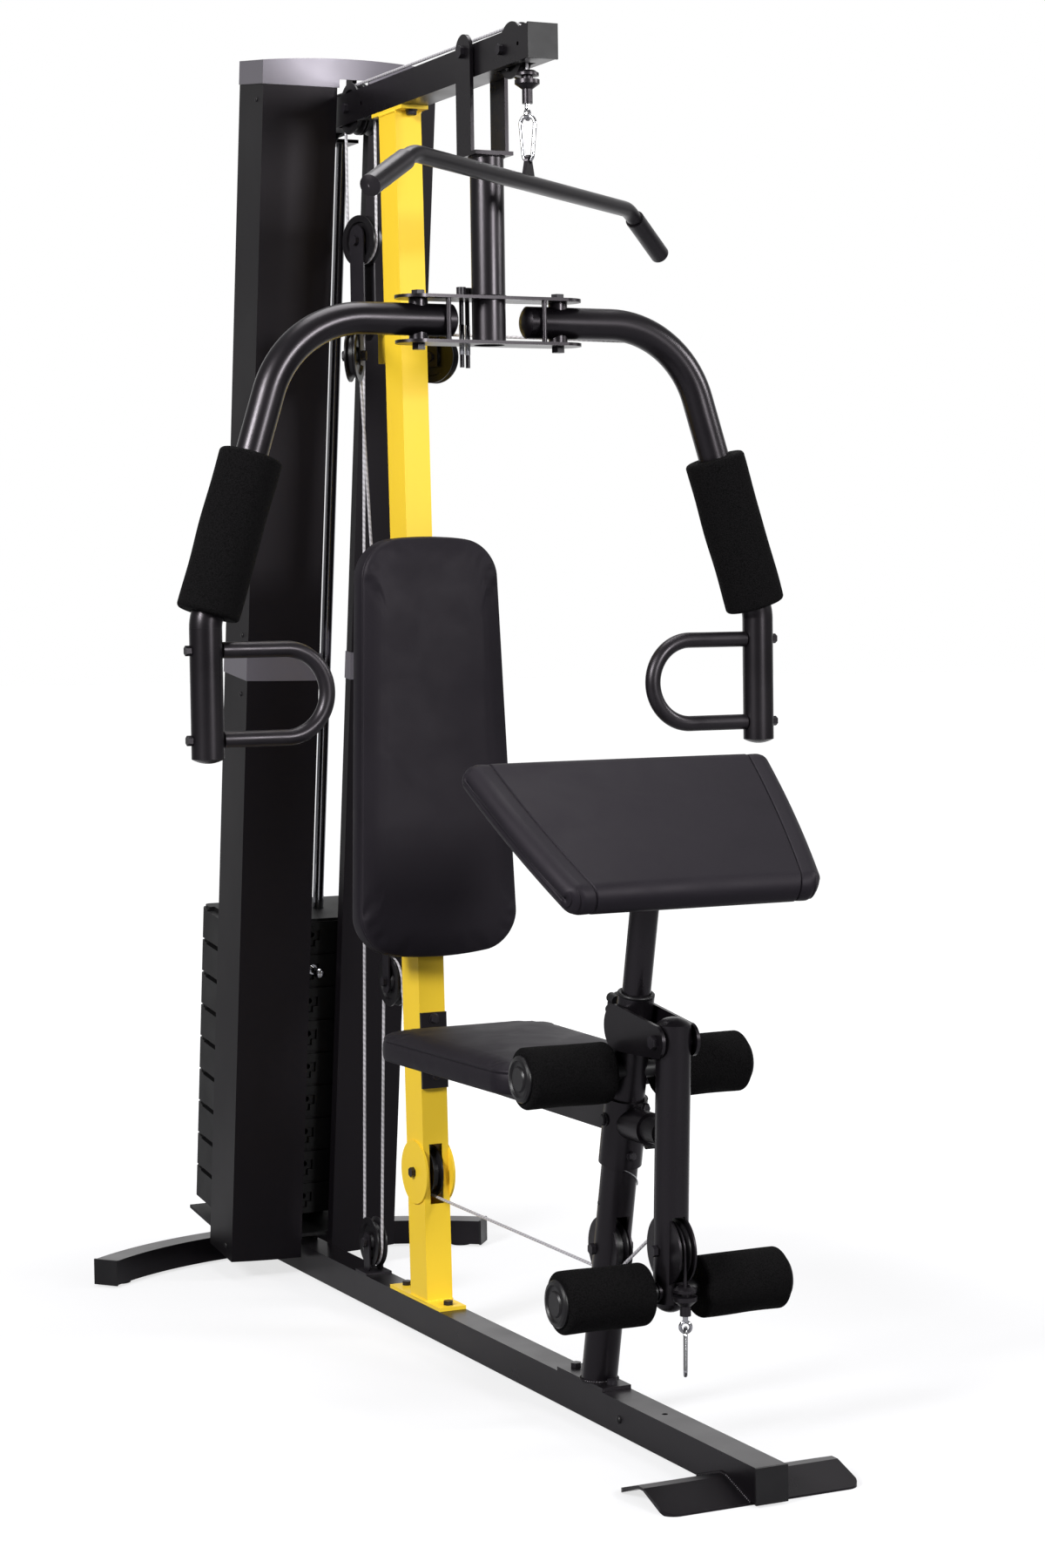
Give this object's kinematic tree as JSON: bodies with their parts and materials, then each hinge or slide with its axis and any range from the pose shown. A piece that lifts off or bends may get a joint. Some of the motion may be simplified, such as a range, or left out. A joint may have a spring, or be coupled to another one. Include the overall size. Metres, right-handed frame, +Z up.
{
  "type": "lat pulldown machine",
  "caption": "Home multi-gym with a lat pulldown bar, press and butterfly arms, leg developer, preacher pad, seat and a shrouded weight stack on a cable run.",
  "frame": {"origin": "floor level under the middle of the machine's footprint", "axes": "+Z up, front foot towards -Y, weight stack towards +Y, +X to the right seen from the front foot"},
  "size_m": [1.0388, 1.8853, 2.1572],
  "materials": {
    "black_paint": "satin black paint",
    "yellow_paint": "gloss yellow paint",
    "cover_paint": "satin dark grey paint",
    "silver_plastic": "silver painted plastic",
    "chrome_rods": "bright chrome",
    "zinc": "bright zinc",
    "dark_zinc": "black zinc",
    "stack_black": "plastic shell, filled",
    "vinyl": "charcoal vinyl",
    "foam": "fine-grained foam",
    "grip_rubber": "smooth rubber",
    "cap_plastic": "black moulded plastic",
    "pulley_plastic": "black nylon",
    "cable_coat": "clear-coated wire cable"
  },
  "bodies": {
    "frame": {"base_beam": "black_paint", "front_foot": "black_paint", "rear_leg": "black_paint", "caps_and_buffers": "cap_plastic", "upright": "yellow_paint", "top_beam": "black_paint", "guide_rods": "chrome_rods", "stack_base": "stack_black", "rest_plates": "stack_black", "cover_left": "cover_paint", "cover_right": "cover_paint", "cover_bands": "silver_plastic", "cover_cap": "silver_plastic", "back_pad": "vinyl", "seat_frame": "black_paint", "seat_pad": "vinyl", "front_post": "black_paint", "upper_axle": "dark_zinc", "mounts_and_bolts": "dark_zinc", "cables_fixed": "cable_coat", "cables_stack": "cable_coat", "cables_work": "cable_coat"},
    "lift": {"lifted_plates": "stack_black", "selector_stem": "zinc"},
    "pin": {"selector_pin": "chrome_rods"},
    "yoke": {"press_yoke": "black_paint", "yoke_hardware": "zinc"},
    "left_arm": {"arm_left": "black_paint", "arm_foam_left": "foam", "handle_left": "grip_rubber"},
    "right_arm": {"arm_right": "black_paint", "arm_foam_right": "foam", "handle_right": "grip_rubber"},
    "lever": {"leg_lever": "black_paint", "lower_axle": "dark_zinc", "low_link": "chrome_rods"},
    "curl": {"curl_post": "black_paint", "curl_pad": "vinyl"},
    "knob_post": {"post_knob": "cap_plastic"},
    "knob_collar": {"collar_knob": "cap_plastic"},
    "link": {"lat_link": "grip_rubber"},
    "bar": {"lat_swivel": "chrome_rods", "lat_bar": "black_paint", "lat_grips": "grip_rubber"},
    "roller_upper_left": {"upper_roller_left": "foam"},
    "roller_lower_left": {"lower_roller_left": "foam"},
    "roller_upper_right": {"upper_roller_right": "foam"},
    "roller_lower_right": {"lower_roller_right": "foam"},
    "wheel_front": {"pulley_front": "pulley_plastic"},
    "wheel_mid_left": {"pulley_mid_left": "pulley_plastic"},
    "wheel_mid_right": {"pulley_mid_right": "pulley_plastic"},
    "wheel_rear": {"pulley_rear": "pulley_plastic"},
    "wheel_float": {"pulley_float": "pulley_plastic"},
    "wheel_arm_left": {"pulley_arm_left": "pulley_plastic"},
    "wheel_arm_right": {"pulley_arm_right": "pulley_plastic"},
    "wheel_lift": {"pulley_lift": "pulley_plastic"},
    "wheel_base": {"pulley_base": "pulley_plastic"},
    "wheel_low": {"pulley_low": "pulley_plastic"},
    "wheel_post": {"pulley_post": "pulley_plastic"},
    "wheel_lever": {"pulley_lever": "pulley_plastic"}
  },
  "joints": [
    {"name": "stack_lift", "type": "slide", "parent": "frame", "child": "lift", "axis": [0, -0.1289, 0.9917], "range_m": [0, 0.6], "deforming": ["cables_stack"]},
    {"name": "lat_pull", "type": "slide", "parent": "frame", "child": "link", "axis": [0, -0.267, -0.9637], "range_m": [0, 0.6]},
    {"name": "lat_turn", "type": "hinge", "parent": "link", "child": "bar", "pos_m": [0, -0.2445, 1.85], "axis": [0, 0, 1], "range_deg": [-39, 0]},
    {"name": "pin_pull", "type": "slide", "parent": "lift", "child": "pin", "axis": [0, -0.9917, -0.1289], "range_m": [0, 0.12]},
    {"name": "press_swing", "type": "hinge", "parent": "frame", "child": "yoke", "pos_m": [0, -0.0825, 2.07], "axis": [1, 0, 0], "range_deg": [-20, 0], "deforming": ["cables_work"]},
    {"name": "left_arm_fly", "type": "hinge", "parent": "yoke", "child": "left_arm", "pos_m": [-0.12, -0.0965, 1.655], "axis": [0, 0, -1], "range_deg": [-60, 0]},
    {"name": "right_arm_fly", "type": "hinge", "parent": "yoke", "child": "right_arm", "pos_m": [0.12, -0.0965, 1.655], "axis": [0, 0, 1], "range_deg": [-60, 0]},
    {"name": "leg_swing", "type": "hinge", "parent": "frame", "child": "lever", "pos_m": [0, -0.6765, 0.598], "axis": [-1, 0, 0], "range_deg": [0, 80]},
    {"name": "curl_height", "type": "slide", "parent": "frame", "child": "curl", "axis": [0, -0.2192, 0.9757], "range_m": [0, 0.06]},
    {"name": "post_knob_turn", "type": "hinge", "parent": "frame", "child": "knob_post", "pos_m": [0, -0.53179, 0.62792], "axis": [0, 0.9757, 0.2192], "continuous": true},
    {"name": "collar_knob_turn", "type": "hinge", "parent": "frame", "child": "knob_collar", "pos_m": [0.032, -0.51633, 0.436], "axis": [1, 0, 0], "continuous": true},
    {"name": "upper_left_roll", "type": "hinge", "parent": "frame", "child": "roller_upper_left", "pos_m": [-0.11, -0.5505, 0.54], "axis": [1, 0, 0], "continuous": true},
    {"name": "lower_left_roll", "type": "hinge", "parent": "lever", "child": "roller_lower_left", "pos_m": [-0.11, -0.65889, 0.238], "axis": [1, 0, 0], "continuous": true},
    {"name": "upper_right_roll", "type": "hinge", "parent": "frame", "child": "roller_upper_right", "pos_m": [0.11, -0.5505, 0.54], "axis": [1, 0, 0], "continuous": true},
    {"name": "lower_right_roll", "type": "hinge", "parent": "lever", "child": "roller_lower_right", "pos_m": [0.11, -0.65889, 0.238], "axis": [1, 0, 0], "continuous": true},
    {"name": "wheel_front_spin", "type": "hinge", "parent": "frame", "child": "wheel_front", "pos_m": [0, -0.2059, 2.0545], "axis": [1, 0, 0], "range_deg": [0, 892]},
    {"name": "wheel_mid_left_spin", "type": "hinge", "parent": "frame", "child": "wheel_mid_left", "pos_m": [-0.0105, 0.4065, 2.0545], "axis": [1, 0, 0], "range_deg": [0, 892]},
    {"name": "wheel_mid_right_spin", "type": "hinge", "parent": "frame", "child": "wheel_mid_right", "pos_m": [0.0105, 0.4065, 2.0545], "axis": [1, 0, 0], "range_deg": [0, 892]},
    {"name": "wheel_rear_spin", "type": "hinge", "parent": "frame", "child": "wheel_rear", "pos_m": [0, 0.55505, 2.0545], "axis": [1, 0, 0], "range_deg": [0, 892]},
    {"name": "wheel_float_spin", "type": "hinge", "parent": "frame", "child": "wheel_float", "pos_m": [0, 0.4065, 1.833], "axis": [0.9623, 0.272, 0], "range_deg": [-892, 0]},
    {"name": "wheel_arm_right_spin", "type": "hinge", "parent": "frame", "child": "wheel_arm_right", "pos_m": [0.072, 0.2765, 1.628], "axis": [0.8225, 0.5687, 0], "range_deg": [0, 219]},
    {"name": "wheel_arm_left_spin", "type": "hinge", "parent": "frame", "child": "wheel_arm_left", "pos_m": [-0.072, 0.2765, 1.628], "axis": [0.8225, -0.5687, 0], "range_deg": [0, 219]},
    {"name": "wheel_lift_spin", "type": "hinge", "parent": "frame", "child": "wheel_lift", "pos_m": [0, 0.3265, 0.576], "axis": [1, 0, 0], "range_deg": [0, 623]},
    {"name": "wheel_base_spin", "type": "hinge", "parent": "frame", "child": "wheel_base", "pos_m": [0, 0.4315, 0.108], "axis": [1, 0, 0], "range_deg": [-623, 0]},
    {"name": "wheel_low_spin", "type": "hinge", "parent": "frame", "child": "wheel_low", "pos_m": [0, 0.18914, 0.272], "axis": [1, 0, 0], "range_deg": [-623, 0]},
    {"name": "wheel_post_spin", "type": "hinge", "parent": "frame", "child": "wheel_post", "pos_m": [0, -0.4735, 0.266], "axis": [1, 0, 0], "range_deg": [-623, 0]},
    {"name": "wheel_lever_spin", "type": "hinge", "parent": "lever", "child": "wheel_lever", "pos_m": [0, -0.6645, 0.298], "axis": [1, 0, 0], "continuous": true}
  ],
  "couplings": [
    {"joint": "lat_pull", "follows": "stack_lift", "ratio": 1},
    {"joint": "lat_turn", "follows": "stack_lift", "rad_per_m": -1.134},
    {"joint": "wheel_front_spin", "follows": "stack_lift", "rad_per_m": 25.907},
    {"joint": "wheel_mid_left_spin", "follows": "stack_lift", "rad_per_m": 25.907},
    {"joint": "wheel_mid_right_spin", "follows": "stack_lift", "rad_per_m": 25.907},
    {"joint": "wheel_rear_spin", "follows": "stack_lift", "rad_per_m": 25.907},
    {"joint": "wheel_float_spin", "follows": "stack_lift", "rad_per_m": -25.907},
    {"joint": "wheel_arm_right_spin", "follows": "press_swing", "ratio": -10.881},
    {"joint": "wheel_arm_left_spin", "follows": "press_swing", "ratio": -10.881},
    {"joint": "wheel_lift_spin", "follows": "leg_swing", "ratio": 7.772},
    {"joint": "wheel_base_spin", "follows": "leg_swing", "ratio": -7.772},
    {"joint": "wheel_low_spin", "follows": "leg_swing", "ratio": -7.772},
    {"joint": "wheel_post_spin", "follows": "leg_swing", "ratio": -7.772}
  ]
}
